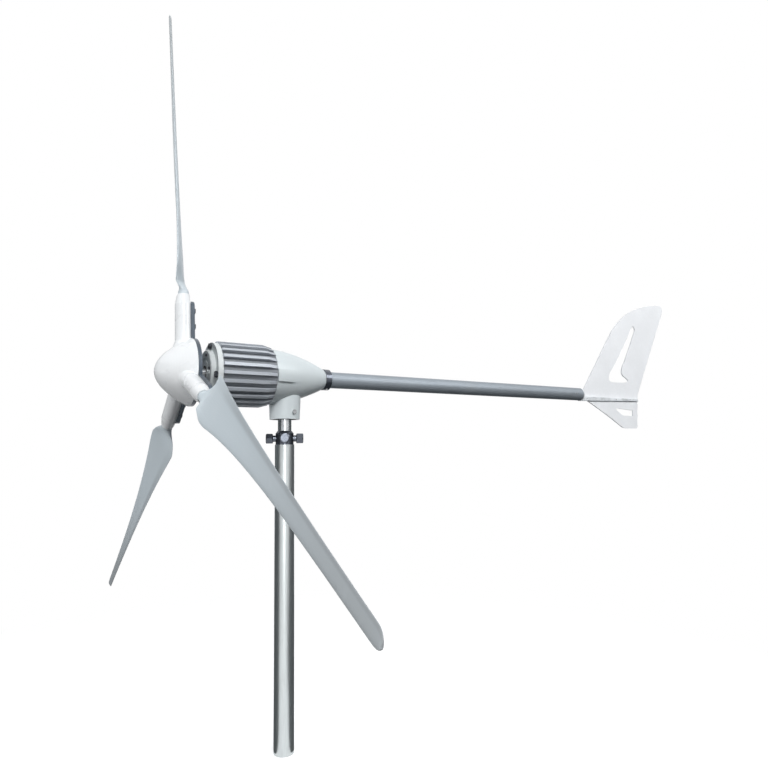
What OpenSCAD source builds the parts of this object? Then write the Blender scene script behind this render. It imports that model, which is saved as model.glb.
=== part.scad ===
// Small wind turbine on a mast stub.
// X runs from the nose (negative) to the tail, Z is up, the origin is the middle of the mast foot.

/* [Mast] */
// Outside diameter of the mast tube
mast_d = 48.3; // [46:0.1:56]
// Wall of the mast tube
mast_wall = 3.2; // [2.4:0.1:3.6]
// Length of the mast tube
mast_len = 716; // [400:1:1200]

/* [Yaw head] */
// Height of the rotor axis above the top of the mast tube
head_h = 169; // [166:1:200]
// Diameter of the yaw shaft where it shows
yaw_d = 34; // [32:0.5:36]
// Height of the dark adapter collar
collar_h = 34; // [30:1:38]
// Length of the adapter spigot inside the mast
spigot_len = 60; // [30:1:120]
// Lower diameter of the white neck
neck_d = 75; // [72:0.5:80]
// Drop of the neck end below the rotor axis
neck_drop = 106; // [104:0.5:110]
// Turn of the clamp bolt pattern about the mast
clamp_turn = -23; // [-45:1:45]

/* [Generator] */
// Radius over the cooling fins
fin_r = 78; // [76:0.5:86]
// Number of cooling fins
fin_count = 24; // [16:1:30]
// Thickness of a cooling fin
fin_t = 7.5; // [4:0.25:9]
// Length of the finned housing
gen_len = 134; // [128:1:160]
// Rim radius of the front cover
cover_r = 73.5; // [72:0.5:77]
// Thickness of the front cover rim
cover_t = 12; // [11:0.5:14]

/* [Rotor] */
// Blade tip radius
rotor_r = 989; // [700:1:1200]
// Radius of the nose dome at its seam
dome_r = 80; // [76:0.5:84]
// Length of the nose dome ahead of its seam
nose_len = 79; // [76:1:90]
// Radius of a white hub arm
arm_r = 20; // [19:0.5:22]
// Reach of the hub arms from the rotor axis
arm_reach = 190; // [186:1:196]
// Blade chord at the shoulder
root_chord = 95; // [80:1:115]
// Blade chord close to the tip
tip_chord = 22; // [16:1:36]
// Blade pitch at the shoulder
root_pitch = 20; // [10:0.5:25]
// Blade pitch close to the tip
tip_pitch = 6.5; // [3:0.5:12]
// Forward lean of the blades
cone_deg = 2.0; // [0:0.1:3]
// Turn of the rotor at rest
rest_turn = -6.9; // [-60:0.1:60]

/* [Tail] */
// Outside diameter of the tail boom
boom_d = 42.4; // [40:0.1:44]
// Wall of the tail boom
boom_wall = 2.6; // [2:0.1:3.2]
// Length of the tail boom
boom_len = 1042; // [700:1:1300]
// Height of the tail vane above the boom axis
vane_up = 369; // [310:1:410]
// Depth of the tail vane below the boom axis
vane_down = 115; // [100:1:130]
// Sweep length of the tail vane behind the boom
vane_len = 508; // [460:1:560]
// Thickness of the tail vane sheet
vane_t = 4; // [3:0.25:5]

/* [Hidden] */
$fn = 96;
eps = 0.01;
fit = 0.05;
run = 0.3;

axis_z = mast_len + head_h;
mast_r = mast_d / 2;
mast_bore = mast_r - mast_wall;

// Yaw shaft and its two ball bearings
yaw_r = yaw_d / 2;
yaw_seat = yaw_r - 1;
yaw_bore = 9;
race_t = 3.5;
ball_r = 3.9;
ring_h = 13.5;
yaw_ring_w = 14;
yaw_ring_r = yaw_seat + ring_h;
neck_r = neck_d / 2;
neck_top_r = neck_r + 2.5;
neck_z = axis_z - neck_drop;
seal_h = 6;
clip_h = 2;
clip_groove = 2;
low_ring_z = neck_z + seal_h + clip_h;
spacer_h = 6;
up_ring_z = low_ring_z + yaw_ring_w + spacer_h;
head_shoulder_z = up_ring_z + yaw_ring_w;
yaw_nut_h = 9;
yaw_nut_r = 24;
slip_z = head_shoulder_z + yaw_nut_h;
slip_post_r = 12;
slip_sleeve_r = 17;
slip_r = 19.5;
slip_h = 6;
slip_first = 10;
slip_pitch = 11;
slip_sleeve_h = 44;

// Adapter collar and clamp bolts
collar_r = 22.5;
collar_z = mast_len;
collar_cone_h = 6;
shaft_foot_z = mast_len - spigot_len;
clamp_z = collar_z + collar_h * 0.45;
clamp_af = 24;
clamp_head = 18;
clamp_neck = 6;
clamp_round = 5;
clamp_reach = collar_r;
clamp_shank = 8;

// Stations along the rotor axis
flange_x = -46;
cover_back = flange_x - gen_len;
cover_front = cover_back - cover_t;
cap_t = 12;
cap_front = cover_front - cap_t;
hub_gap = 26;
plate_t = 9;
plate_back = cap_front - hub_gap;
seam_x = plate_back - plate_t;
hub_x = seam_x - 12.5;

// Finned housing and covers
bore_r = 56;
fin_root = 70;
fin_taper = 23;
fin_rear = 2;
fin_short = 0.6;
fin_phase = -3.5;
spigot_t = 8;
spigot_l = 10;
tie_r = 64.5;
tie_shank = 3;
tie_af = 13;
tie_head = 6;
tie_angles = [9, 99, 189, 279];
cap_r = 55;
cap_screw_r = 44;
cap_screw_n = 6;

// Rotor shaft and bearings
seat_r = 12.5;
hub_seat = 10;
core_seat = 15;
ring_r = seat_r + ring_h;
ring_w = 15;
front_ring_x = cover_front;
rear_ring_x = flange_x - 12;
wall = 4.5;
web_t = 8;
boss_r = 33;

// Stator and rotor of the generator
stator_in = 40;
stator_yoke = 48;
stator_len = 60;
stator_x = (cover_back + flange_x) / 2 - stator_len / 2;
tooth_n = 12;
tooth_w = 9;
coil_w = 16;
coil_over = 6;
air_gap = 1;
magnet_t = 5;
magnet_n = 10;
magnet_r = stator_in - air_gap;

// Tail cone of the rear housing
cone_len = 151;
cone_r0 = 68.5;
cone_r1 = 25.5;
cone_pow = 1.75;
cone_end = flange_x + cone_len;
cone_steps = 18;
pad_end = 5;
pad_t = 4;
pad_low = -19;
pad_h = 30;
pad_round = 9;
socket_x = 40;
socket_t = 6;
boom_r = boom_d / 2;
boom_bore = boom_r - boom_wall;
boom_x = socket_x + socket_t;
boom_end = boom_x + boom_len;
ring_clamp_w = 16;
ring_clamp_r = 27.5;
clamp_screw_r = 1.8;
clamp_screw_d = boom_r + 3.5;

// Brush gear
holder_x = 22;
holder_w = 16;
lead_z = 43;
lead_r = 1.5;
lead_pitch = 5;

// Hub and blade roots
stub_r = 13.5;
stub_in = 62;
root_out = 178;
stub_out = 194;
blade_step = 3;
dome_wall = 5;
dome_steps = 20;
blade_bolt_r = [113, 152];
bolt_r = 4;
boss_pitch = 60;
shell_boss_r = 7;
arm_taper = 26;
flare_t = 6;
flare_h = 18;
flare_drop = 24;
hub_nut_af = 30;
hub_nut_h = 12;
hub_washer_t = 3;
shoulder_r = 246;
root_sections = 12;
span_sections = 20;
tip_sections = 6;
tip_round = 20;
tip_anchor = 0.25;
foil_n = 28;
lead_share = 0.35;
lead_in = 203;
lead_out = 262;
trail_out = 240;
foil_in = 222;
root_gap = 0.6;
least_t = 8;
lead_full = 0.95;

// Tail vane stations
spine_x = boom_end;
plug_len = 50;
plug_r = boom_bore - fit;
spine_cap = 4;
cheek_t = 5;
cheek_w = vane_t / 2 + cheek_t;
spine_top = 7;
spine_front = 22;
spine_rear = 14;
spine_len = vane_len * 0.61;
tab_len = 24;
tab_h = 16;
rivet_n = 4;
rivet_r = 1.6;

// Cylinder along the rotor axis from station x0 to x1
module xrod(x0, x1, r) {
    translate([x0, 0, axis_z])
        rotate([0, 90, 0])
            cylinder(r = r, h = x1 - x0);
}

// Ring along the rotor axis
module xring(x0, x1, r_in, r_out) {
    difference() {
        xrod(x0, x1, r_out);
        xrod(x0 - 1, x1 + 1, r_in);
    }
}

// Ring along the mast axis
module zring(z0, z1, r_in, r_out) {
    translate([0, 0, z0])
        difference() {
            cylinder(r = r_out, h = z1 - z0);
            translate([0, 0, -1])
                cylinder(r = r_in, h = z1 - z0 + 2);
        }
}

// Places children on the rotor axis, turned by an angle about it
module spun(angle) {
    translate([0, 0, axis_z])
        rotate([angle, 0, 0])
            children();
}

// Hexagon bar along Z with the given width across flats
module hex(af, h) {
    cylinder(d = af / cos(30), h = h, $fn = 6);
}

// Bearing inner ring standing on z = 0 with a race for the balls
module inner_race(r_in, w) {
    pitch = r_in + ring_h / 2;
    difference() {
        cylinder(r = r_in + race_t, h = w);
        translate([0, 0, -1])
            cylinder(r = r_in, h = w + 2);
        translate([0, 0, w / 2 - ball_r - run])
            difference() {
                cylinder(r = pitch, h = 2 * (ball_r + run));
                cylinder(r = pitch - ball_r - run, h = 2 * (ball_r + run));
            }
    }
}

// Bearing outer ring standing on z = 0 with a race for the balls
module outer_race(r_in, w) {
    pitch = r_in + ring_h / 2;
    difference() {
        cylinder(r = r_in + ring_h, h = w);
        translate([0, 0, -1])
            cylinder(r = r_in + ring_h - race_t, h = w + 2);
        translate([0, 0, w / 2 - ball_r - run])
            cylinder(r = pitch + ball_r + run, h = 2 * (ball_r + run));
    }
}

// Set of bearing balls
module ball_set(r_in, w, n) {
    for (i = [0 : n - 1])
        rotate(360 * i / n)
            translate([r_in + ring_h / 2, 0, w / 2])
                sphere(r = ball_r);
}

// Ball cage with one pocket per ball
module ball_cage(r_in, w, n) {
    pitch = r_in + ring_h / 2;
    difference() {
        translate([0, 0, 1.5])
            cylinder(r = pitch + 1.3, h = w - 3);
        cylinder(r = pitch - 1.3, h = w);
        for (i = [0 : n - 1])
            rotate(360 * i / n)
                translate([pitch, 0, w / 2])
                    rotate([0, 90, 0])
                        cylinder(r = ball_r + run, h = 6, center = true);
    }
}

// Turns a bearing standing on Z into the rotor axis at station x
module on_axis(x) {
    translate([x, 0, axis_z])
        rotate([0, 90, 0])
            children();
}

module mast_tube() {
    color([0.62, 0.65, 0.67])
        zring(0, mast_len, mast_bore, mast_r);
}

module mast_adapter() {
    color([0.10, 0.12, 0.14])
        difference() {
            union() {
                translate([0, 0, collar_z])
                    cylinder(r = collar_r, h = collar_h - collar_cone_h);
                translate([0, 0, collar_z + collar_h - collar_cone_h])
                    cylinder(r1 = collar_r, r2 = yaw_r + 1.2, h = collar_cone_h);
                translate([0, 0, shaft_foot_z])
                    cylinder(r = mast_bore - fit, h = spigot_len + eps);
            }
            translate([0, 0, shaft_foot_z - 1])
                cylinder(r = yaw_r, h = spigot_len + collar_h + 2);
            for (a = [0 : 90 : 270])
                rotate([0, 0, clamp_turn + a])
                    translate([0, 0, clamp_z])
                        rotate([90, 0, 0])
                            cylinder(r = clamp_shank, h = clamp_reach + 1);
        }
}

// Hexagon head of a clamp bolt with well rounded ends
module clamp_head() {
    half = clamp_af / 2 / cos(30);
    intersection() {
        hex(clamp_af, clamp_head);
        rotate_extrude()
            hull() {
                square([half - clamp_round, clamp_head]);
                for (z = [clamp_round, clamp_head - clamp_round])
                    translate([half - clamp_round, z])
                        circle(r = clamp_round);
            }
    }
}

module clamp_bolts() {
    color([0.07, 0.08, 0.10])
        for (a = [0 : 90 : 270])
            rotate([0, 0, clamp_turn + a])
                difference() {
                    translate([0, 0, clamp_z])
                        rotate([90, 0, 0])
                            union() {
                                cylinder(r = clamp_shank, h = clamp_reach + clamp_neck + 1);
                                translate([0, 0, clamp_reach + clamp_neck])
                                    clamp_head();
                            }
                    cylinder(r = yaw_r, h = axis_z);
                }
}

module yaw_shaft() {
    color([0.72, 0.74, 0.76])
        difference() {
            union() {
                translate([0, 0, shaft_foot_z])
                    cylinder(r = yaw_r, h = low_ring_z - shaft_foot_z);
                translate([0, 0, low_ring_z])
                    cylinder(r = yaw_seat, h = slip_z - low_ring_z);
                translate([0, 0, slip_z])
                    cylinder(r = slip_post_r, h = slip_sleeve_h + 3);
            }
            translate([0, 0, shaft_foot_z - 1])
                cylinder(r = yaw_bore, h = slip_z + slip_sleeve_h + 10 - shaft_foot_z);
        }
}

module yaw_lower_inner_ring() {
    color([0.66, 0.68, 0.70])
        translate([0, 0, low_ring_z])
            inner_race(yaw_seat, yaw_ring_w);
}

module yaw_upper_inner_ring() {
    color([0.66, 0.68, 0.70])
        translate([0, 0, up_ring_z])
            inner_race(yaw_seat, yaw_ring_w);
}

module yaw_inner_spacer() {
    color([0.50, 0.52, 0.55])
        zring(low_ring_z + yaw_ring_w, up_ring_z, yaw_seat, yaw_seat + race_t);
}

module yaw_nut() {
    color([0.45, 0.46, 0.48])
        difference() {
            zring(head_shoulder_z, slip_z, yaw_seat, yaw_nut_r);
            for (a = [0 : 90 : 270])
                rotate([0, 0, a])
                    translate([yaw_nut_r - 3, -2.5, head_shoulder_z + 1])
                        cube([4, 5, yaw_nut_h]);
        }
}

module slip_ring_sleeve() {
    color([0.20, 0.12, 0.08])
        zring(slip_z, slip_z + slip_sleeve_h, slip_post_r, slip_sleeve_r);
}

module slip_rings() {
    color([0.75, 0.45, 0.25])
        for (i = [0 : 2])
            translate([0, 0, slip_z + slip_first + i * slip_pitch])
                zring(0, slip_h, slip_sleeve_r, slip_r);
}

module yaw_balls() {
    color([0.80, 0.81, 0.83])
        for (z = [low_ring_z, up_ring_z])
            translate([0, 0, z])
                ball_set(yaw_seat, yaw_ring_w, 12);
}

module yaw_lower_cage() {
    color([0.72, 0.58, 0.30])
        translate([0, 0, low_ring_z])
            ball_cage(yaw_seat, yaw_ring_w, 12);
}

module yaw_upper_cage() {
    color([0.72, 0.58, 0.30])
        translate([0, 0, up_ring_z])
            ball_cage(yaw_seat, yaw_ring_w, 12);
}

// Outer radius of the tail cone a distance s (0 to 1) behind the flange
function cone_radius(s) = cone_r0 - (cone_r0 - cone_r1) * pow(s, cone_pow);

// Solid of the tail cone, drawn inside its skin by the given amount
module cone_solid(inset, x0, x1) {
    s0 = (x0 - flange_x) / cone_len;
    s1 = (x1 - flange_x) / cone_len;
    rim = [for (i = [0 : cone_steps])
        let (s = s0 + (s1 - s0) * i / cone_steps)
        [cone_radius(s) - inset, s * cone_len]];
    translate([flange_x, 0, axis_z])
        rotate([0, 90, 0])
            rotate_extrude()
                polygon(concat([[0, s0 * cone_len]], rim, [[0, s1 * cone_len]]));
}

// Raised pad on both flanks of the tail cone, round at its rear corners
module cone_pads() {
    intersection() {
        cone_solid(-pad_t, flange_x + 1, socket_x);
        translate([0, 0, axis_z])
            rotate([90, 0, 0])
                linear_extrude(height = 2 * fin_r + 2 * pad_t, center = true)
                    hull() {
                        translate([flange_x, pad_low])
                            square([1, pad_h]);
                        for (z = [pad_low + pad_round, pad_low + pad_h - pad_round])
                            translate([pad_end - pad_round, z])
                                circle(r = pad_round);
                    }
    }
}

module rear_housing() {
    color([0.90, 0.91, 0.92])
        difference() {
            union() {
                difference() {
                    union() {
                        cone_solid(0, flange_x, cone_end);
                        cone_pads();
                        translate([0, 0, neck_z])
                            cylinder(r1 = neck_r, r2 = neck_top_r, h = neck_drop - 45);
                    }
                    cone_solid(wall, flange_x + web_t, socket_x);
                }
                intersection() {
                    translate([0, 0, neck_z])
                        cylinder(r = neck_top_r, h = head_shoulder_z + 5 - neck_z);
                    cone_solid(1, flange_x, cone_end);
                }
                xring(rear_ring_x, flange_x + 1, bore_r - spigot_t, bore_r - fit);
                xrod(rear_ring_x, flange_x + web_t + 8, boss_r);
            }
            xrod(rear_ring_x - 1, rear_ring_x + ring_w, ring_r);
            xrod(rear_ring_x, flange_x + web_t + 20, 20);
            xrod(boom_x, cone_end + 1, boom_r);
            translate([0, 0, neck_z - 1])
                cylinder(r = yaw_ring_r, h = head_shoulder_z - neck_z + 1);
            translate([0, 0, neck_z])
                cylinder(r = yaw_ring_r - race_t - 0.5, h = head_shoulder_z - neck_z + 12);
            zring(low_ring_z - clip_h, low_ring_z, 10, yaw_ring_r + clip_groove);
            for (a = tie_angles)
                spun(a)
                    translate([flange_x - 1, -tie_r, 0])
                        rotate([0, 90, 0])
                            cylinder(r = tie_shank, h = web_t + 3);
            for (i = [-1 : 1])
                translate([rear_ring_x - 1, i * lead_pitch, axis_z + lead_z])
                    rotate([0, 90, 0])
                        cylinder(r = lead_r + run, h = 30);
            neck_screw_at()
                cylinder(r = 3, h = 20, center = true);
        }
}

// Cooling fins standing on the housing barrel, tapered at the tail end
module fins() {
    intersection() {
        for (i = [0 : fin_count - 1])
            spun(-fin_phase + 360 * i / fin_count)
                translate([cover_back, -fin_r - 5, -fin_t / 2])
                    cube([gen_len, fin_r + 5 - bore_r - 4, fin_t]);
        translate([cover_back, 0, axis_z])
            rotate([0, 90, 0])
                rotate_extrude()
                    polygon([[0, 0], [fin_r - 2, 0], [fin_r, 2], [fin_r, gen_len - fin_taper],
                        [fin_root + fin_rear, gen_len - fin_short], [0, gen_len - fin_short]]);
    }
}

module finned_housing() {
    color([0.55, 0.57, 0.59])
        difference() {
            union() {
                xrod(cover_back, flange_x, fin_root - 1);
                fins();
            }
            xrod(cover_back - 1, flange_x + 1, bore_r);
            for (a = tie_angles)
                spun(a)
                    translate([cover_back - 1, -tie_r, 0])
                        rotate([0, 90, 0])
                            cylinder(r = tie_shank, h = gen_len + 2);
        }
}

module front_cover() {
    color([0.86, 0.88, 0.87])
        difference() {
            union() {
                xrod(cover_front, cover_back, cover_r);
                xring(cover_back - 1, cover_back + spigot_l, bore_r - spigot_t, bore_r - fit);
                xrod(cover_front, front_ring_x + ring_w + 3, boss_r);
            }
            xrod(cover_front - 1, front_ring_x + ring_w, ring_r);
            xrod(cover_front, cover_back + 20, ring_r - race_t - 1);
            for (a = tie_angles)
                spun(a)
                    translate([cover_front - 1, -tie_r, 0])
                        rotate([0, 90, 0])
                            cylinder(r = tie_shank, h = cover_t + 2);
            cap_screw_holes(cover_front - 1, cover_front + 8);
        }
}

// Bores for the small screws of the bearing cap
module cap_screw_holes(x0, x1) {
    for (i = [0 : cap_screw_n - 1])
        spun(-8 + 360 * i / cap_screw_n)
            translate([x0, -cap_screw_r, 0])
                rotate([0, 90, 0])
                    cylinder(r = 2, h = x1 - x0);
}

module bearing_cap() {
    color([0.80, 0.83, 0.82])
        difference() {
            union() {
                translate([cap_front, 0, axis_z])
                    rotate([0, 90, 0])
                        cylinder(r1 = cap_r - 2, r2 = cap_r, h = 2);
                xrod(cap_front + 2, cover_front, cap_r);
            }
            xring(cap_front - 1, cap_front + 1.5, 30, 37);
            xrod(cap_front - 1, cover_front + 1, 18);
            xrod(cap_front + 7, cover_front + 1, ring_r - race_t - 1);
            cap_screw_holes(cap_front - 1, cover_front + 1);
        }
}

module bearing_cap_screws() {
    color([0.25, 0.28, 0.28])
        for (i = [0 : cap_screw_n - 1])
            spun(-8 + 360 * i / cap_screw_n)
                translate([cap_front, -cap_screw_r, 0])
                    rotate([0, 90, 0])
                        union() {
                            translate([0, 0, -3])
                                cylinder(r = 3.6, h = 3);
                            cylinder(r = 2, h = cap_t + 8);
                        }
}

module tie_bolts() {
    color([0.16, 0.19, 0.20])
        for (a = tie_angles)
            spun(a)
                translate([cover_front, -tie_r, 0])
                    rotate([0, 90, 0])
                        union() {
                            translate([0, 0, -tie_head])
                                hex(tie_af, tie_head);
                            cylinder(r = tie_shank, h = cover_t + gen_len + web_t);
                        }
}

module shaft_seal() {
    color([0.10, 0.10, 0.11])
        xring(cap_front, cap_front + 7, seat_r + run, 18);
}

module front_outer_ring() {
    color([0.66, 0.68, 0.70])
        on_axis(front_ring_x)
            outer_race(seat_r, ring_w);
}

module rear_outer_ring() {
    color([0.66, 0.68, 0.70])
        on_axis(rear_ring_x)
            outer_race(seat_r, ring_w);
}

// Tooth of the stator on top of the bore
module tooth(extra, x0, x1, r0, r1) {
    translate([x0, -tooth_w / 2 - extra, r0])
        cube([x1 - x0, tooth_w + 2 * extra, r1 - r0]);
}

module stator_core() {
    color([0.40, 0.42, 0.45])
        difference() {
            union() {
                xring(stator_x, stator_x + stator_len, stator_yoke, bore_r);
                for (i = [0 : tooth_n - 1])
                    spun(360 * i / tooth_n)
                        tooth(0, stator_x, stator_x + stator_len, stator_in - 2, stator_yoke + 2);
            }
            xrod(stator_x - 1, stator_x + stator_len + 1, stator_in);
        }
}

module stator_windings() {
    color([0.70, 0.38, 0.18])
        for (i = [0 : tooth_n - 1])
            spun(360 * i / tooth_n)
                difference() {
                    translate([stator_x - coil_over, -coil_w / 2, stator_in + 1.5])
                        cube([stator_len + 2 * coil_over, coil_w, 5.5]);
                    tooth(fit, stator_x - fit, stator_x + stator_len + fit, stator_in, stator_yoke);
                }
}

module phase_leads() {
    color([0.15, 0.15, 0.16])
        for (i = [-1 : 1])
            translate([stator_x + stator_len + coil_over, i * lead_pitch, axis_z + lead_z])
                rotate([0, 90, 0])
                    cylinder(r = lead_r, h = holder_x - stator_x - stator_len - coil_over);
}

module brush_holder() {
    color([0.22, 0.22, 0.24])
        difference() {
            translate([holder_x, -holder_w / 2, slip_z + slip_first - 1])
                cube([socket_x - holder_x, holder_w, axis_z + lead_z + 3.5 - slip_z - slip_first]);
            brush_slots(fit);
        }
}

// Carbon brush bars reaching from the holder to the slip rings
module brush_slots(extra) {
    for (i = [0 : 2])
        translate([slip_r + run, -4 - extra, slip_z + slip_first + 0.5 + i * slip_pitch - extra])
            cube([12 + extra, 8 + 2 * extra, slip_h - 1 + 2 * extra]);
}

module brushes() {
    color([0.12, 0.12, 0.12])
        brush_slots(0);
}

module yaw_lower_outer_ring() {
    color([0.66, 0.68, 0.70])
        translate([0, 0, low_ring_z])
            outer_race(yaw_seat, yaw_ring_w);
}

module yaw_upper_outer_ring() {
    color([0.66, 0.68, 0.70])
        translate([0, 0, up_ring_z])
            outer_race(yaw_seat, yaw_ring_w);
}

module yaw_outer_spacer() {
    color([0.50, 0.52, 0.55])
        zring(low_ring_z + yaw_ring_w, up_ring_z, yaw_ring_r - race_t, yaw_ring_r);
}

module neck_circlip() {
    color([0.30, 0.31, 0.33])
        difference() {
            zring(low_ring_z - clip_h, low_ring_z, yaw_ring_r - race_t + 0.5, yaw_ring_r + clip_groove);
            translate([0, -3, low_ring_z - clip_h - 1])
                cube([60, 6, clip_h + 2]);
        }
}

module neck_seal() {
    color([0.12, 0.12, 0.13])
        zring(neck_z, neck_z + seal_h, yaw_r + run, yaw_ring_r);
}

// Places children at the side screw of the neck, Z pointing outwards
module neck_screw_at() {
    translate([0, 0, neck_z + 17])
        rotate([0, 0, -76])
            translate([neck_r + 0.5, 0, 0])
                rotate([0, 90, 0])
                    children();
}

module neck_screw() {
    color([0.45, 0.47, 0.48])
        difference() {
            neck_screw_at()
                difference() {
                    union() {
                        translate([0, 0, -8])
                            cylinder(r = 3, h = 9);
                        cylinder(r = 5.5, h = 4);
                    }
                    translate([0, 0, 2])
                        hex(5, 4);
                }
            translate([0, 0, neck_z])
                cylinder(r = yaw_ring_r, h = 40);
            intersection() {
                neck_screw_at()
                    difference() {
                        cylinder(r = 9, h = 40, center = true);
                        cylinder(r = 3, h = 60, center = true);
                    }
                translate([0, 0, neck_z])
                    cylinder(r1 = neck_r, r2 = neck_top_r, h = neck_drop - 45);
            }
        }
}

module tail_boom() {
    color([0.48, 0.52, 0.54])
        difference() {
            xring(boom_x, boom_end, boom_bore, boom_r);
            spine_screw_holes();
        }
}

module boom_clamp() {
    color([0.20, 0.22, 0.24])
        difference() {
            xring(cone_end, cone_end + ring_clamp_w, boom_r, ring_clamp_r);
            translate([cone_end - 1, -1.5, axis_z - 40])
                cube([ring_clamp_w + 2, 3, 30]);
            clamp_screw_hole();
        }
}

// Cross bore of the split boom clamp
module clamp_screw_hole() {
    translate([cone_end + ring_clamp_w / 2, -12.5, axis_z - clamp_screw_d])
        rotate([-90, 0, 0])
            cylinder(r = clamp_screw_r, h = 25);
}

module boom_clamp_screw() {
    color([0.10, 0.11, 0.12])
        difference() {
            clamp_screw_hole();
            translate([cone_end + ring_clamp_w / 2, -13, axis_z - clamp_screw_d])
                rotate([-90, 0, 0])
                    hex(2, 3);
        }
}

// Middle height of the spine cheeks at distance d behind the boom
function spine_mid(d) = -(spine_top + spine_front + (spine_rear - spine_front) * d / spine_len) / 2;

module tail_spine() {
    color([0.40, 0.44, 0.47])
        difference() {
            union() {
                xrod(spine_x - plug_len, spine_x, plug_r);
                xrod(spine_x, spine_x + spine_cap, boom_r);
                translate([spine_x, cheek_w, axis_z])
                    rotate([90, 0, 0])
                        linear_extrude(2 * cheek_w)
                            polygon([[0, -spine_front], [spine_len, -spine_rear], [spine_len, -spine_top],
                                [0, -spine_top]]);
            }
            translate([spine_x - tab_len, -vane_t / 2, axis_z - 60])
                cube([spine_len + tab_len + 1, vane_t, 120]);
            spine_screw_holes();
            vane_rivet_bars();
        }
}

// Cross bores that hold the plug in the boom
module spine_screw_holes() {
    for (d = [34, 42])
        translate([spine_x - d, 0, axis_z])
            rotate([90, 0, 0])
                cylinder(r = 2, h = boom_d + 2, center = true);
}

module spine_screws() {
    color([0.45, 0.47, 0.48])
        for (d = [34, 42])
            translate([spine_x - d, 0, axis_z])
                rotate([90, 0, 0])
                    cylinder(r = 2, h = boom_d + 1, center = true);
}

// Cross bars of the vane rivets
module vane_rivet_bars() {
    for (i = [0 : rivet_n - 1])
        let (d = spine_len * (0.1 + 0.25 * i))
            translate([spine_x + d, 0, axis_z + spine_mid(d)])
                rotate([90, 0, 0])
                    cylinder(r = rivet_r, h = 2 * cheek_w + 1.2, center = true);
}

module vane_rivets() {
    color([0.55, 0.57, 0.58])
        vane_rivet_bars();
}

// Point of a curve from p to r that leans towards q
function bend(p, q, r, t) = (1 - t) * (1 - t) * p + 2 * t * (1 - t) * q + t * t * r;

// Points along the curve from p to r that leans towards q
function curve(p, q, r, n) = [for (i = [0 : n]) bend(p, q, r, i / n)];

// Outline of the vane, with X from the boom end and Y above the axis
module vane_outline() {
    polygon(concat(
        [[-tab_len, -tab_h / 2], [0, -tab_h / 2], [vane_len * 0.06, -vane_down * 0.15]],
        curve([vane_len * 0.1225, -vane_down * 0.278], [vane_len * 0.27, -vane_down * 0.585],
            [vane_len * 0.387, -vane_down * 0.87], 6),
        curve([vane_len * 0.42, -vane_down * 0.95], [vane_len * 0.45, -vane_down],
            [vane_len * 0.49, -vane_down], 4),
        [[vane_len * 0.585, -vane_down * 0.99], [vane_len * 0.593, -vane_down * 0.94]],
        [[vane_len * 0.613, -vane_down * 0.2], [vane_len * 0.622, vane_up * 0.03]],
        curve([vane_len, vane_up * 0.938], [vane_len, vane_up * 0.97], [vane_len * 0.976, vane_up], 5),
        curve([vane_len * 0.96, vane_up * 0.998], [vane_len * 0.547, vane_up * 0.95],
            [vane_len * 0.346, vane_up * 0.589], 14),
        [[vane_len * 0.045, vane_up * 0.05], [0, tab_h / 2], [-tab_len, tab_h / 2]]));
}

// Long boot shaped window of the vane
module upper_window() {
    polygon(concat(
        curve([vane_len * 0.36, vane_up * 0.137], [vane_len * 0.285, vane_up * 0.137],
            [vane_len * 0.334, vane_up * 0.234], 8),
        curve([vane_len * 0.385, vane_up * 0.309], [vane_len * 0.455, vane_up * 0.425],
            [vane_len * 0.536, vane_up * 0.575], 5),
        curve([vane_len * 0.606, vane_up * 0.71], [vane_len * 0.635, vane_up * 0.755],
            [vane_len * 0.647, vane_up * 0.69], 6),
        curve([vane_len * 0.502, vane_up * 0.355], [vane_len * 0.42, vane_up * 0.225],
            [vane_len * 0.496, vane_up * 0.194], 9),
        curve([vane_len * 0.522, vane_up * 0.172], [vane_len * 0.525, vane_up * 0.14],
            [vane_len * 0.488, vane_up * 0.14], 5)));
}

// Short wedge window below the boom line
module lower_window() {
    polygon(concat(
        curve([vane_len * 0.40, -vane_down * 0.49], [vane_len * 0.335, -vane_down * 0.365],
            [vane_len * 0.40, -vane_down * 0.376], 6),
        [[vane_len * 0.553, -vane_down * 0.426], [vane_len * 0.549, -vane_down * 0.60]],
        curve([vane_len * 0.46, -vane_down * 0.60], [vane_len * 0.43, -vane_down * 0.59],
            [vane_len * 0.41, -vane_down * 0.515], 4)));
}

module tail_vane() {
    color([0.93, 0.95, 0.96])
        difference() {
            translate([spine_x, vane_t / 2, axis_z])
                rotate([90, 0, 0])
                    linear_extrude(vane_t)
                        difference() {
                            vane_outline();
                            upper_window();
                            lower_window();
                        }
            vane_rivet_bars();
        }
}

module rotor_balls() {
    color([0.80, 0.81, 0.83])
        for (x = [front_ring_x, rear_ring_x])
            on_axis(x)
                ball_set(seat_r, ring_w, 10);
}

module front_cage() {
    color([0.72, 0.58, 0.30])
        on_axis(front_ring_x)
            ball_cage(seat_r, ring_w, 10);
}

module rear_cage() {
    color([0.72, 0.58, 0.30])
        on_axis(rear_ring_x)
            ball_cage(seat_r, ring_w, 10);
}

module rotor_shaft() {
    color([0.68, 0.70, 0.72])
        difference() {
            union() {
                xrod(seam_x - hub_washer_t - hub_nut_h - 6, plate_back, hub_seat);
                xrod(plate_back, front_ring_x + ring_w, seat_r);
                xrod(front_ring_x + ring_w, rear_ring_x, core_seat);
                xrod(rear_ring_x, rear_ring_x + ring_w + 2, seat_r);
            }
            hub_key_bar();
        }
}

module front_inner_ring() {
    color([0.66, 0.68, 0.70])
        on_axis(front_ring_x)
            inner_race(seat_r, ring_w);
}

module rear_inner_ring() {
    color([0.66, 0.68, 0.70])
        on_axis(rear_ring_x)
            inner_race(seat_r, ring_w);
}

// Magnet of the generator rotor on top of the core
module magnet_bar(over) {
    translate([stator_x - over, -8, magnet_r - magnet_t])
        cube([stator_len + 2 * over, 16, magnet_t + 5]);
}

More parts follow.
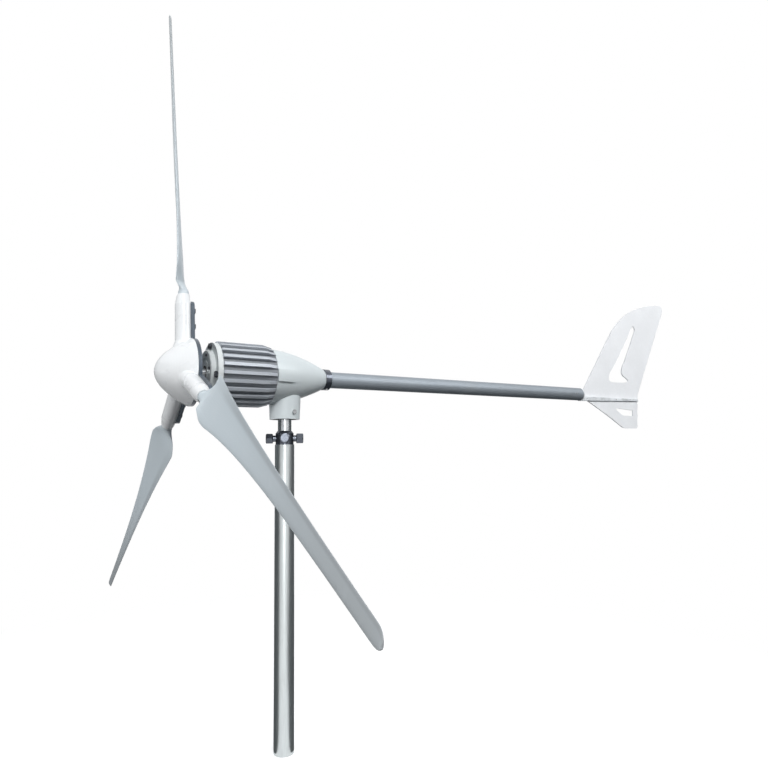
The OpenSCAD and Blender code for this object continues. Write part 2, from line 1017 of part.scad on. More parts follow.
module rotor_core() {
    color([0.42, 0.43, 0.46])
        difference() {
            xring(stator_x, stator_x + stator_len, core_seat, magnet_r);
            for (i = [0 : magnet_n - 1])
                spun(rest_turn + 360 * i / magnet_n)
                    magnet_bar(1);
        }
}

module rotor_magnets() {
    color([0.55, 0.56, 0.60])
        intersection() {
            for (i = [0 : magnet_n - 1])
                spun(rest_turn + 360 * i / magnet_n)
                    magnet_bar(0);
            xrod(stator_x, stator_x + stator_len, magnet_r);
        }
}

// Key between the rotor shaft and the hub plate
module hub_key_bar() {
    spun(rest_turn)
        translate([seam_x + 0.5, -2.5, hub_seat - 2.5])
            cube([plate_t - 1, 5, 5]);
}

module hub_key() {
    color([0.35, 0.36, 0.38])
        hub_key_bar();
}

// Through bores of the blade bolts, Z along the rotor axis
module blade_bolt_rods(x0, x1, r) {
    for (k = [0 : 2])
        spun(rest_turn + 120 * k)
            for (d = blade_bolt_r)
                translate([x0, 0, d])
                    rotate([0, 90, 0])
                        cylinder(r = r, h = x1 - x0);
}

// Bores of the nose shell screws
module shell_screw_rods(x0, x1, r) {
    for (k = [0 : 2])
        spun(rest_turn + 60 + 120 * k)
            translate([x0, 0, boss_pitch])
                rotate([0, 90, 0])
                    cylinder(r = r, h = x1 - x0);
}

module hub_plate() {
    color([0.17, 0.21, 0.24])
        difference() {
            union() {
                xrod(seam_x, plate_back, dome_r);
                for (k = [0 : 2])
                    spun(rest_turn + 120 * k)
                        union() {
                            translate([seam_x, -arm_r + 1, 0])
                                cube([plate_t, 2 * arm_r - 2, arm_reach - arm_r - 14]);
                            translate([seam_x, 0, arm_reach - arm_r - 14])
                                rotate([0, 90, 0])
                                    cylinder(r = arm_r - 1, h = plate_t);
                        }
            }
            xrod(seam_x - 1, plate_back + 1, hub_seat);
            hub_key_bar();
            blade_bolt_rods(seam_x - 1, plate_back + 1, bolt_r);
            shell_screw_rods(seam_x - 1, plate_back + 1, 2.5);
        }
}

module hub_washer() {
    color([0.60, 0.62, 0.64])
        xring(seam_x - hub_washer_t, seam_x, hub_seat, 18);
}

module hub_nut() {
    color([0.50, 0.52, 0.54])
        difference() {
            translate([seam_x - hub_washer_t - hub_nut_h, 0, axis_z])
                rotate([0, 90, 0])
                    hex(hub_nut_af, hub_nut_h);
            xrod(seam_x - 40, seam_x, hub_seat);
        }
}

// Solid of the nose dome, drawn inside its skin by the given amount
module dome_solid(inset) {
    rim = [for (i = [0 : dome_steps])
        let (t = i / dome_steps)
        [(dome_r - inset) * t, inset + (nose_len - inset) * t * t]];
    translate([seam_x - nose_len, 0, axis_z])
        rotate([0, 90, 0])
            rotate_extrude()
                polygon(concat(rim, [[dome_r - inset, nose_len + plate_t], [0, nose_len + plate_t]]));
}

// One white hub arm along Z, flared at the dome and tapered at its end
module arm_form() {
    translate([hub_x, 0, 0])
        union() {
            cylinder(r = arm_r, h = arm_reach - arm_taper);
            translate([0, 0, arm_reach - arm_taper])
                cylinder(r1 = arm_r, r2 = stub_r + 2, h = arm_taper);
            translate([0, 0, dome_r - flare_drop])
                cylinder(r1 = arm_r + flare_t, r2 = arm_r, h = flare_h);
        }
}

module hub_shell() {
    color([0.95, 0.96, 0.96])
        difference() {
            union() {
                difference() {
                    union() {
                        dome_solid(0);
                        for (k = [0 : 2])
                            spun(rest_turn + 120 * k)
                                arm_form();
                    }
                    dome_solid(dome_wall);
                }
                intersection() {
                    shell_screw_rods(hub_x - dome_r / 2, plate_back, shell_boss_r);
                    dome_solid(1);
                }
            }
            for (k = [0 : 2])
                spun(rest_turn + 120 * k)
                    translate([hub_x, 0, stub_in - 10])
                        cylinder(r = stub_r + fit, h = arm_reach);
            shell_screw_rods(hub_x - 2, seam_x + 1, 2.5);
            translate([seam_x, -2 * arm_reach, axis_z - 2 * arm_reach])
                cube([arm_reach, 4 * arm_reach, 4 * arm_reach]);
        }
}

module shell_screws() {
    color([0.12, 0.13, 0.14])
        union() {
            shell_screw_rods(hub_x - 2, plate_back, 2.5);
            shell_screw_rods(plate_back, plate_back + 3.5, 4.5);
        }
}

module blade_bolts() {
    color([0.14, 0.15, 0.17])
        for (k = [0 : 2])
            spun(rest_turn + 120 * k)
                for (d = blade_bolt_r)
                    translate([plate_back, 0, d])
                        rotate([0, 90, 0])
                            union() {
                                hex(tie_af, 5.5);
                                translate([0, 0, hub_x - plate_back - 10])
                                    cylinder(r = bolt_r, h = plate_back - hub_x + 10);
                            }
}

// Share of the span left from radius r to the tip
function span_left(r) = max(0, min(1, (rotor_r - r) / (rotor_r - shoulder_r)));

// Smooth step from 0 to 1
function ease(t) = let (c = max(0, min(1, t))) c * c * (3 - 2 * c);

// Leading and trailing edge offsets from the radial line
function lead_edge(r) = tip_chord * 0.07
    + (root_chord * lead_share - tip_chord * 0.07) * min(1, pow(span_left(r) / lead_full, 3));
function trail_edge(r) = -tip_chord * 0.92
    - (root_chord * (1 - lead_share) - tip_chord * 0.92) * pow(span_left(r), 1.15);

// Blade pitch, forward lean and thickness at radius r
function pitch_at(r) = tip_pitch + (root_pitch - tip_pitch) * pow(span_left(r), 3);
function lean_at(r) = -blade_step - tan(cone_deg) * max(0, r - stub_out);
function thick_at(r) = least_t + 0.07 * (lead_edge(r) - trail_edge(r));

// Narrowing of the rounded tip towards the leading edge
function tip_scale(r) = let (d = max(0, r - rotor_r + tip_round) / tip_round) sqrt(max(0.02, 1 - d * d * d));

// Point of the blade section at radius r and turn a
function foil_point(r, a) =
    let (f = (1 - cos(a)) / 2,
        e0 = trail_edge(r),
        e1 = lead_edge(r),
        chord = e1 - e0,
        k = tip_scale(r),
        anchor = e1 - tip_anchor * chord,
        side = anchor + (e0 + chord * f - anchor) * k,
        across = side - (e0 + e1) / 2,
        camber = 0.045 * chord * 4 * f * (1 - f) * k,
        half = thick_at(r) / 2 * sin(a) * (0.35 + 0.65 * sin(a / 2) * sin(a / 2)) * (0.4 + 0.6 * k))
    [lean_at(r) - across * tan(pitch_at(r)) + camber + half, -side];

// Point of the blade at radius r and turn a, blended from the round root
function blade_point(r, a) =
    let (f = (1 - cos(a)) / 2,
        w = (1 - f) * ease((r - stub_out) / (trail_out - stub_out))
            + f * ease((r - lead_in) / (lead_out - lead_in)),
        v = ease((r - stub_out) / (foil_in - stub_out)),
        root_r = stub_r - root_gap,
        p = foil_point(r, a))
    [hub_x + (1 - v) * root_r * sin(a) + v * p[0], (1 - w) * root_r * cos(a) + w * p[1], r];

function blade_stations() = concat(
    [for (i = [0 : root_sections - 1]) root_out - 6 + (lead_out - root_out + 6) * i / root_sections],
    [for (i = [0 : span_sections - 1])
        lead_out + (rotor_r - tip_round - lead_out) * pow(i / span_sections, 1.25)],
    [for (i = [0 : tip_sections]) rotor_r - tip_round + tip_round * sin(90 * i / tip_sections)]);

module blade_form() {
    stations = blade_stations();
    rows = len(stations);
    points = [for (r = stations) for (j = [0 : foil_n - 1]) blade_point(r, 360 * j / foil_n)];
    skin = [for (i = [0 : rows - 2]) for (j = [0 : foil_n - 1]) for (t = [0, 1])
        let (a = i * foil_n + j,
            b = i * foil_n + (j + 1) % foil_n,
            c = a + foil_n,
            d = b + foil_n)
        t == 0 ? [a, b, d] : [a, d, c]];
    foot = [[for (j = [foil_n - 1 : -1 : 0]) j]];
    top = [[for (j = [0 : foil_n - 1]) (rows - 1) * foil_n + j]];
    polyhedron(points = points, faces = concat(skin, foot, top), convexity = 6);
}

module blade(k) {
    spun(rest_turn + 120 * k)
        difference() {
            union() {
                translate([hub_x, 0, stub_in])
                    cylinder(r = stub_r, h = root_out - stub_in);
                blade_form();
            }
            translate([seam_x, -arm_r * 3, 0])
                cube([arm_r * 3, arm_r * 6, root_out]);
            for (d = blade_bolt_r)
                translate([hub_x - 10, 0, d])
                    rotate([0, 90, 0])
                        cylinder(r = bolt_r, h = 40);
        }
}

module blade_1() {
    color([0.72, 0.75, 0.77])
        blade(0);
}

module blade_2() {
    color([0.72, 0.75, 0.77])
        blade(1);
}

module blade_3() {
    color([0.72, 0.75, 0.77])
        blade(2);
}

mast_tube();
mast_adapter();
clamp_bolts();
yaw_shaft();
yaw_lower_inner_ring();
yaw_upper_inner_ring();
yaw_inner_spacer();
yaw_nut();
slip_ring_sleeve();
slip_rings();
yaw_balls();
yaw_lower_cage();
yaw_upper_cage();
rear_housing();
finned_housing();
front_cover();
bearing_cap();
bearing_cap_screws();
tie_bolts();
shaft_seal();
front_outer_ring();
rear_outer_ring();
stator_core();
stator_windings();
phase_leads();
brush_holder();
brushes();
yaw_lower_outer_ring();
yaw_upper_outer_ring();
yaw_outer_spacer();
neck_circlip();
neck_seal();
neck_screw();
tail_boom();
boom_clamp();
boom_clamp_screw();
tail_spine();
tail_vane();
vane_rivets();
spine_screws();
rotor_balls();
front_cage();
rear_cage();
rotor_shaft();
front_inner_ring();
rear_inner_ring();
rotor_core();
rotor_magnets();
hub_plate();
hub_key();
hub_washer();
hub_nut();
hub_shell();
shell_screws();
blade_bolts();
blade_1();
blade_2();
blade_3();
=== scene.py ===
"""Dresses the small wind turbine: finishes for its CAD nodes, smooth blade skins, studio and camera.

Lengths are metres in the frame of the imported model: X from the nose to the tail, Z up, mast foot at 0.
"""

import logging
import math
from dataclasses import dataclass
from enum import Enum
from typing import Union

import bpy
import numpy as np
from mathutils import Matrix, Vector

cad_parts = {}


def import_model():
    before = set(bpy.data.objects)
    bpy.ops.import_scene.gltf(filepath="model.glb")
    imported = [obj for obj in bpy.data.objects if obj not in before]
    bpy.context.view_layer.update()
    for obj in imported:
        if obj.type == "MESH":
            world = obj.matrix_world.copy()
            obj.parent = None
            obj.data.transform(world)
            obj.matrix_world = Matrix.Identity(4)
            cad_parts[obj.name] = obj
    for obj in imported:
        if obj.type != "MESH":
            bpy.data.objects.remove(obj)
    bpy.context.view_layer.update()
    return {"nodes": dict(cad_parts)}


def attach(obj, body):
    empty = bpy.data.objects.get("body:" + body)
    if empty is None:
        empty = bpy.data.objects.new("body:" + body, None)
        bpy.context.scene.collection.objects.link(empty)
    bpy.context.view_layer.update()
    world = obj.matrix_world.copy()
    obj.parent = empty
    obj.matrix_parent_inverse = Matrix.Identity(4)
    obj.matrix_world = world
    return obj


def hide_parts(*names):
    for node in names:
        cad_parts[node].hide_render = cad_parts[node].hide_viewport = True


LOG = logging.getLogger("turbine")
AXIS_Z = 0.885
COAT_ROUGHNESS = 0.12
MM_PER_M = 1000.0
NOISE_ROUGHNESS = 0.6

Colour = tuple[float, float, float]
Point = tuple[float, float, float]
Value = Union["Sock", float, Colour]


class Body(Enum):
    """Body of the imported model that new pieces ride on."""

    ROTOR = "rotor"


class Grain(Enum):
    """Direction in which a metal was drawn, turned or brushed."""

    ALONG_X = (0.02, 1.0, 1.0)
    ALONG_Z = (1.0, 1.0, 0.02)
    EVEN = (1.0, 1.0, 1.0)


class Throw(Enum):
    """What a lamp acts on: everything, only rough surfaces or only gloss."""

    ALL = (True, True)
    SOFT = (True, False)
    GLOSS = (False, True)


class Sock:
    """Output socket whose operators add Math nodes to its tree."""

    def __init__(self, graph: "Graph", socket: bpy.types.NodeSocket) -> None:
        """Keeps the tree and the socket."""
        self.graph = graph
        self.socket = socket

    def __add__(self, other: Value) -> "Sock":
        """Sum."""
        return self.graph.maths("ADD", self, other)

    def __radd__(self, other: Value) -> "Sock":
        """Sum with a number on the left."""
        return self.graph.maths("ADD", other, self)

    def __sub__(self, other: Value) -> "Sock":
        """Difference."""
        return self.graph.maths("SUBTRACT", self, other)

    def __rsub__(self, other: Value) -> "Sock":
        """Difference from a number."""
        return self.graph.maths("SUBTRACT", other, self)

    def __mul__(self, other: Value) -> "Sock":
        """Product."""
        return self.graph.maths("MULTIPLY", self, other)

    def __rmul__(self, other: Value) -> "Sock":
        """Product with a number on the left."""
        return self.graph.maths("MULTIPLY", other, self)

    def ramp(self, low: float, high: float) -> "Sock":
        """Smooth step of this value.

        Args:
            low: value that gives 0.
            high: value that gives 1.

        Returns:
            The step as a socket from 0 to 1.
        """
        settings = {"interpolation_type": "SMOOTHSTEP"}
        return self.graph.node(
            "ShaderNodeMapRange",
            settings,
            {"Value": self, "From Min": low, "From Max": high},
        )


class Graph:
    """Node tree of a material or the world, with one method for any node."""

    def __init__(self, tree: bpy.types.NodeTree) -> None:
        """Starts from an empty tree."""
        self.tree = tree
        tree.nodes.clear()

    def node(
        self,
        kind: str,
        settings: dict[str, object] | None = None,
        inputs: dict[Union[str, int], Value] | None = None,
        out: Union[str, int] = 0,
    ) -> Sock:
        """Adds a node.

        Args:
            kind: Blender's node type.
            settings: properties of the node, set before its inputs.
            inputs: numbers, colours or sockets by input name or index.
            out: name or index of the wanted output.

        Returns:
            The output socket.
        """
        made = self.tree.nodes.new(kind)
        for key, value in (settings or {}).items():
            setattr(made, key, value)
        for key, value in (inputs or {}).items():
            target = made.inputs[key]
            if isinstance(value, Sock):
                self.tree.links.new(value.socket, target)
            elif isinstance(value, tuple) and target.type == "RGBA":
                target.default_value = (*value[:3], 1.0)
            else:
                target.default_value = value
        return Sock(self, made.outputs[out]) if len(made.outputs) else Sock(self, made)

    def maths(self, operation: str, a: Value, b: Value = 0.0) -> Sock:
        """Math node of two values."""
        return self.node("ShaderNodeMath", {"operation": operation}, {0: a, 1: b})

    def mix(self, share: Value, a: Value, b: Value) -> Sock:
        """Mixes two colours.

        Args:
            share: part of b, from 0 to 1.
            a: first colour.
            b: second colour.

        Returns:
            The mixed colour.
        """
        return self.node("ShaderNodeMix", {"data_type": "RGBA"}, {0: share, 6: a, 7: b}, out=2)

    def place(self, scale: Point) -> Sock:
        """Object coordinates, stretched by scale."""
        spot = self.node("ShaderNodeTexCoord", out="Object")
        return self.node("ShaderNodeMapping", None, {"Vector": spot, "Scale": scale})

    def split(self, vector: Sock) -> tuple[Sock, Sock, Sock]:
        """The three numbers of a vector."""
        parts = self.node("ShaderNodeSeparateXYZ", None, {0: vector})
        outs = parts.socket.node.outputs
        return Sock(self, outs[0]), Sock(self, outs[1]), Sock(self, outs[2])

    def axes(self) -> tuple[Sock, Sock, Sock]:
        """Object coordinates as three numbers."""
        return self.split(self.node("ShaderNodeTexCoord", out="Object"))

    def noise(self, scale: float, detail: float = 3.0, stretch: Point = (1.0, 1.0, 1.0)) -> Sock:
        """Noise of about 0 to 1 with features of 1/scale metres."""
        inputs = {"Vector": self.place(stretch), "Scale": scale, "Detail": detail}
        return self.node("ShaderNodeTexNoise", None, {**inputs, "Roughness": NOISE_ROUGHNESS})

    def bump(self, height: Sock, depth: float, under: Sock | None = None) -> Sock:
        """Bump normal of a height from 0 to 1 that stands depth metres high, on top of another bump.

        Args:
            height: relief from 0 to 1.
            depth: height of the relief in metres.
            under: normal of a coarser bump, or None.

        Returns:
            The normal.
        """
        inputs = {"Height": height, "Distance": depth, "Strength": 1.0}
        if under is not None:
            inputs["Normal"] = under
        return self.node("ShaderNodeBump", None, inputs)

    def surface(self, shader: Sock) -> None:
        """Ends a material's tree with a shader."""
        self.node("ShaderNodeOutputMaterial", None, {"Surface": shader})


def new_material(name: str) -> tuple[bpy.types.Material, Graph]:
    """A new material and its empty tree."""
    material = bpy.data.materials.new(name)
    material.use_nodes = True
    return material, Graph(material.node_tree)


@dataclass(frozen=True)
class Finish:
    """Finish of a surface: even values on the shader plus detail that its nodes add."""

    name: str
    colour: Colour
    roughness: float = 0.4
    metallic: float = 0.0
    coat: float = 0.0

    def build(self) -> bpy.types.Material:
        """Makes the material.

        Returns:
            A material with one principled shader.
        """
        material, graph = new_material(self.name)
        inputs: dict[Union[str, int], Value] = {
            "Base Color": self.colour,
            "Roughness": self.roughness,
            "Metallic": self.metallic,
            "Coat Weight": self.coat,
            "Coat Roughness": COAT_ROUGHNESS,
        }
        inputs.update(self.detail(graph))
        graph.surface(graph.node("ShaderNodeBsdfPrincipled", None, inputs))
        return material

    def tint(self, share: float) -> Colour:
        """The finish's colour times a number."""
        return tuple(min(1.0, channel * share) for channel in self.colour)

    def detail(self, graph: Graph) -> dict[Union[str, int], Value]:
        """Sockets that vary over the surface, which each kind of finish gives.

        Args:
            graph: tree that the nodes go into.

        Returns:
            Links by name of the shader's input.
        """
        raise NotImplementedError


@dataclass(frozen=True)
class GlossPaint(Finish):
    """Moulded or sprayed white shell with orange peel, faint streaks and specks of dust."""

    peel: float = 420.0
    dust: Colour = (0.62, 0.61, 0.57)

    def detail(self, graph: Graph) -> dict[Union[str, int], Value]:
        """Orange peel, faint clouds of tint, streaks that run down and specks.

        Args:
            graph: tree that the nodes go into.

        Returns:
            Links by name of the shader's input.
        """
        cloud = graph.noise(9.0, 4.0).ramp(0.35, 0.75)
        streak = graph.noise(26.0, 5.0, (1.0, 1.0, 0.16)).ramp(0.52, 0.8)
        peel = graph.noise(self.peel, 2.0)
        speck = graph.noise(2600.0, 1.0).ramp(0.72, 0.8)
        body = graph.mix(cloud, self.tint(0.965), self.tint(1.02))
        body = graph.mix(0.05 * streak + 0.10 * speck, body, self.dust)
        return {
            "Base Color": body,
            "Roughness": self.roughness + 0.12 * (cloud - 0.5) + 0.1 * streak,
            "Normal": graph.bump(peel, 0.00006),
        }


@dataclass(frozen=True)
class CastFins(Finish):
    """Bare cast aluminium, dull, with painted shade that darkens it towards the roots of the fins."""

    root_radius: float = 0.0695
    edge_radius: float = 0.0745

    def detail(self, graph: Graph) -> dict[Union[str, int], Value]:
        """Drawn streaks along the axis and painted shade in the grooves, by distance from the rotor
        axis.

        Args:
            graph: tree that the nodes go into.

        Returns:
            Links by name of the shader's input.
        """
        _, y, z = graph.axes()
        up = z - AXIS_Z
        radius = graph.maths("SQRT", y * y + up * up)
        # Painted shade: this mask is 0 at the fin roots, where the grooves are painted darker as if in
        # shadow, and 1 at the fin edges.
        clear_of_groove_shade = radius.ramp(self.root_radius, self.edge_radius)
        streak = graph.noise(700.0, 4.0, Grain.ALONG_X.value)
        grain = graph.noise(1500.0, 2.0)
        bare = graph.mix(streak.ramp(0.3, 0.7), self.tint(0.86), self.tint(1.08))
        return {
            # Painted shade: the groove colour is the metal at 0.42 of its brightness.
            "Base Color": graph.mix(clear_of_groove_shade, self.tint(0.42), bare),
            "Roughness": self.roughness + 0.2 * (streak - 0.5) + 0.12 * (1.0 - clear_of_groove_shade),
            "Normal": graph.bump(grain, 0.00004, graph.bump(streak, 0.00005)),
        }


@dataclass(frozen=True)
class DrawnMetal(Finish):
    """Drawn, turned or brushed metal with fine lines along its grain."""

    grain: Grain = Grain.EVEN
    lines: float = 900.0
    stain: Colour = (0.33, 0.31, 0.28)
    stained: float = 0.25
    relief: float = 0.000008

    def detail(self, graph: Graph) -> dict[Union[str, int], Value]:
        """Lines along the grain, soft stains and a few scratches.

        Args:
            graph: tree that the nodes go into.

        Returns:
            Links by name of the shader's input.
        """
        line = graph.noise(self.lines, 4.0, self.grain.value)
        cloud = graph.noise(14.0, 5.0).ramp(0.45, 0.8)
        scratch = graph.noise(2400.0, 1.0, self.grain.value).ramp(0.66, 0.72)
        bare = graph.mix(line.ramp(0.3, 0.7), self.tint(0.9), self.tint(1.07))
        rubbed = self.roughness + 0.16 * (line - 0.5)
        return {
            "Base Color": graph.mix(self.stained * cloud, bare, self.stain),
            "Roughness": rubbed + 0.14 * self.stained * cloud + 0.08 * scratch,
            "Normal": graph.bump(line, self.relief),
        }


@dataclass(frozen=True)
class DarkCoat(Finish):
    """Dark paint or oxide with rubbed, paler patches where it is handled."""

    bare: Colour = (0.30, 0.32, 0.34)
    worn: float = 0.35

    def detail(self, graph: Graph) -> dict[Union[str, int], Value]:
        """Worn patches that show the metal, and a fine sprayed grain.

        Args:
            graph: tree that the nodes go into.

        Returns:
            Links by name of the shader's input.
        """
        patch = graph.noise(140.0, 6.0).ramp(0.6, 0.78)
        spray = graph.noise(1800.0, 2.0)
        cloud = graph.noise(22.0, 3.0)
        body = graph.mix(cloud.ramp(0.3, 0.7), self.tint(0.8), self.tint(1.25))
        return {
            "Base Color": graph.mix(self.worn * patch, body, self.bare),
            "Roughness": self.roughness + 0.15 * (spray - 0.5) - 0.1 * patch,
            "Normal": graph.bump(spray, 0.00004),
        }


@dataclass(frozen=True)
class BladeFinish(Finish):
    """Satin moulded blade: the skin's UV holds the span in U and the turn round the section in V."""

    # root and tip are the two ends of a painted shade that darkens each blade along its span towards the
    # tip.
    root: Colour = (0.59, 0.66, 0.70)
    tip: Colour = (0.405, 0.435, 0.45)
    rubbed: Colour = (0.30, 0.30, 0.29)
    flow_stretch: Point = (3.0, 160.0, 1.0)

    def detail(self, graph: Graph) -> dict[Union[str, int], Value]:
        """Painted shade that darkens the blade towards the tip, a scuffed leading edge, a painted shade
        strip along the trailing edge, flow lines and a fine grain.

        Args:
            graph: tree that the nodes go into.

        Returns:
            Links by name of the shader's input.
        """
        spot = graph.node("ShaderNodeUVMap", {"uv_map": "skin"})
        span, turn, _ = graph.split(spot)
        stretched = graph.node("ShaderNodeMapping", None, {"Vector": spot, "Scale": self.flow_stretch})
        flow = graph.node("ShaderNodeTexNoise", None, {"Vector": stretched, "Scale": 1.0, "Detail": 4.0})
        fleck = graph.noise(520.0, 4.0)
        cloud = graph.noise(16.0, 4.0)
        leading = 1.0 - graph.maths("ABSOLUTE", turn - 0.5) * 2.0
        scuff = leading.ramp(0.93, 1.0) * fleck.ramp(0.5, 0.62) * span.ramp(0.1, 0.7)
        # Painted shade: the colour runs from the paler root colour to the darker tip colour along the
        # span.
        body = graph.mix(span.ramp(0.38, 1.0), self.root, self.tip)
        body = graph.mix(0.12 * flow.ramp(0.35, 0.7), body, self.tint(0.86))
        body = graph.mix(0.25 * cloud.ramp(0.5, 0.8), body, self.tint(1.1))
        # Painted shade: a darker strip along the trailing edge stands in for the shade of the curved
        # blade section.
        trailing_painted_shade = (1.0 - leading).ramp(0.64, 0.76) * span.ramp(0.12, 0.4)
        body = graph.mix(0.45 * trailing_painted_shade, body, self.tint(0.5))
        return {
            "Base Color": graph.mix(0.22 * scuff, body, self.rubbed),
            "Roughness": self.roughness + 0.12 * (flow - 0.5) + 0.2 * scuff,
            "Normal": graph.bump(fleck, 0.00003, graph.bump(flow, 0.00001)),
        }


@dataclass(frozen=True)
class SheetFinish(Finish):
    """Pale moulded sheet of the tail vane with a glass mat showing faintly through."""

    cells: float = 190.0
    cell_stretch: Point = (1.0, 1.0, 0.5)

    def detail(self, graph: Graph) -> dict[Union[str, int], Value]:
        """Cells of the mat, clouds of tint and a fine grain.

        Args:
            graph: tree that the nodes go into.

        Returns:
            Links by name of the shader's input.
        """
        mat = graph.node(
            "ShaderNodeTexVoronoi",
            {"feature": "F1"},
            {"Vector": graph.place(self.cell_stretch), "Scale": self.cells},
        )
        cloud = graph.noise(11.0, 4.0).ramp(0.35, 0.75)
        fine = graph.noise(1300.0, 2.0)
        body = graph.mix(cloud, self.tint(0.96), self.tint(1.02))
        return {
            "Base Color": graph.mix(0.12 * mat.ramp(0.2, 0.7), body, self.tint(0.85)),
            "Roughness": self.roughness + 0.1 * (fine - 0.5) + 0.08 * cloud,
            "Normal": graph.bump(fine, 0.00003),
        }


@dataclass(frozen=True)
class Banded(Finish):
    """Stacked sheets or wound wire: dark lines at an even pitch along one axis."""

    pitch: float = 0.001
    across: Point = (1.0, 0.0, 0.0)
    gap: Colour = (0.08, 0.07, 0.06)

    def detail(self, graph: Graph) -> dict[Union[str, int], Value]:
        """Lines across the chosen axis, as paint and as relief.

        Args:
            graph: tree that the nodes go into.

        Returns:
            Links by name of the shader's input.
        """
        spot = graph.node("ShaderNodeTexCoord", out="Object")
        settings = {"operation": "DOT_PRODUCT"}
        run = graph.node("ShaderNodeVectorMath", settings, {0: spot, 1: self.across}, out=1)
        wave = 0.5 + 0.5 * graph.maths("SINE", run * (2.0 * math.pi / self.pitch))
        line = wave.ramp(0.0, 0.35)
        fine = graph.noise(800.0)
        body = graph.mix(fine.ramp(0.3, 0.7), self.tint(0.88), self.tint(1.1))
        return {
            "Base Color": graph.mix(line, self.gap, body),
            "Roughness": self.roughness + 0.15 * (fine - 0.5),
            "Normal": graph.bump(wave, 0.0001),
        }


WHITE_SHELL = GlossPaint("white_shell", (0.84, 0.86, 0.87), 0.30, 0.0, 0.25)
HOUSING_PAINT = GlossPaint("housing_paint", (0.675, 0.735, 0.75), 0.46, 0.0, 0.05, peel=520.0)
COVER_PAINT = GlossPaint("cover_paint", (0.72, 0.76, 0.76), 0.42, 0.0, 0.1, peel=600.0)
FIN_METAL = CastFins("fin_metal", (0.48, 0.515, 0.56), 0.5, 0.25)
DARK_METAL = DarkCoat("dark_metal", (0.085, 0.095, 0.115), 0.22, 0.9, 0.3, worn=0.2)
PLATE_COAT = DarkCoat("plate_coat", (0.055, 0.075, 0.10), 0.34, 0.25, 0.2, bare=(0.25, 0.28, 0.32))
BLACK_BOLT = DarkCoat("black_bolt", (0.030, 0.034, 0.042), 0.34, 0.5)
STEEL = DrawnMetal("steel", (0.50, 0.51, 0.52), 0.30, 1.0)
BRIGHT_STEEL = DrawnMetal("bright_steel", (0.58, 0.60, 0.62), 0.24, 1.0, stained=0.1)
MAST_STEEL = DrawnMetal("mast_steel", (0.56, 0.595, 0.60), 0.33, 1.0, grain=Grain.ALONG_Z, stained=0.12)
BOOM_STEEL = DrawnMetal("boom_steel", (0.29, 0.325, 0.36), 0.58, 0.6, grain=Grain.ALONG_X, stained=0.12)
BLADE_PLASTIC = BladeFinish("blade_plastic", (0.60, 0.64, 0.67), 0.42, 0.0, 0.05)
TAIL_SHEET = SheetFinish("tail_sheet", (0.91, 0.93, 0.95), 0.5)
SPINE_COAT = DarkCoat("spine_coat", (0.70, 0.73, 0.75), 0.42, 0.1, bare=(0.8, 0.82, 0.84))
RUBBER = DarkCoat("rubber", (0.022, 0.022, 0.023), 0.62, 0.0, bare=(0.10, 0.10, 0.10), worn=0.2)
COPPER = Banded("copper", (0.62, 0.27, 0.12), 0.32, 0.9, pitch=0.0012, across=(1.0, 0.6, 0.6))
MAGNET = DrawnMetal("magnet", (0.58, 0.59, 0.61), 0.25, 1.0, stained=0.05)
LAMINATION = Banded("lamination", (0.34, 0.35, 0.37), 0.42, 0.8, pitch=0.001)
CAGE_BRASS = DrawnMetal("cage_brass", (0.62, 0.45, 0.18), 0.3, 1.0)
INSULATOR = DarkCoat("insulator", (0.20, 0.07, 0.03), 0.45, bare=(0.3, 0.14, 0.08), worn=0.2)
CARBON = DarkCoat("carbon", (0.018, 0.018, 0.019), 0.6, 0.1, bare=(0.08, 0.08, 0.08))

NODE_FINISHES: dict[Finish, tuple[str, ...]] = {
    WHITE_SHELL: ("hub_shell",),
    HOUSING_PAINT: ("rear_housing",),
    COVER_PAINT: ("front_cover", "bearing_cap"),
    FIN_METAL: ("finned_housing",),
    DARK_METAL: ("mast_adapter", "clamp_bolts", "boom_clamp"),
    PLATE_COAT: ("hub_plate",),
    BLACK_BOLT: ("tie_bolts", "bearing_cap_screws", "shell_screws", "blade_bolts"),
    STEEL: (
        "yaw_nut", "hub_nut", "hub_washer", "hub_key", "yaw_inner_spacer", "yaw_outer_spacer",
        "neck_circlip", "neck_screw", "boom_clamp_screw", "spine_screws", "vane_rivets",
    ),
    BRIGHT_STEEL: (
        "yaw_shaft", "yaw_lower_inner_ring", "yaw_lower_outer_ring", "yaw_upper_inner_ring",
        "yaw_upper_outer_ring", "yaw_balls",
        "rotor_shaft", "front_inner_ring", "front_outer_ring", "rear_inner_ring", "rear_outer_ring",
        "rotor_balls",
    ),
    MAST_STEEL: ("mast_tube",),
    BOOM_STEEL: ("tail_boom",),
    TAIL_SHEET: ("tail_vane",),
    SPINE_COAT: ("tail_spine",),
    RUBBER: ("neck_seal", "shaft_seal"),
    COPPER: ("stator_windings", "phase_leads", "slip_rings"),
    MAGNET: ("rotor_magnets",),
    LAMINATION: ("stator_core", "rotor_core"),
    CAGE_BRASS: ("yaw_lower_cage", "yaw_upper_cage", "front_cage", "rear_cage"),
    INSULATOR: ("slip_ring_sleeve", "brush_holder"),
    CARBON: ("brushes",),
}


class Dresser:
    """Assigns finishes to CAD nodes and makes each material once."""

    def __init__(self, nodes: dict[str, bpy.types.Object]) -> None:
        """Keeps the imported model's nodes."""
        self.nodes = nodes
        self.made: dict[str, bpy.types.Material] = {}

    def material(self, finish: Finish) -> bpy.types.Material:
        """The material of a finish, made when first asked for."""
        if finish.name not in self.made:
            self.made[finish.name] = finish.build()
        return self.made[finish.name]

    def dress(self, piece: bpy.types.Object, finish: Finish) -> None:
        """Gives a piece one finish all over."""
        piece.data.materials.clear()
        piece.data.materials.append(self.material(finish))

    def dress_nodes(self) -> None:
        """Gives each CAD node the finish that the table names."""
        for finish, names in NODE_FINISHES.items():
            for name in names:
                self.dress(self.nodes[name], finish)
                LOG.info("%s wears %s", name, finish.name)


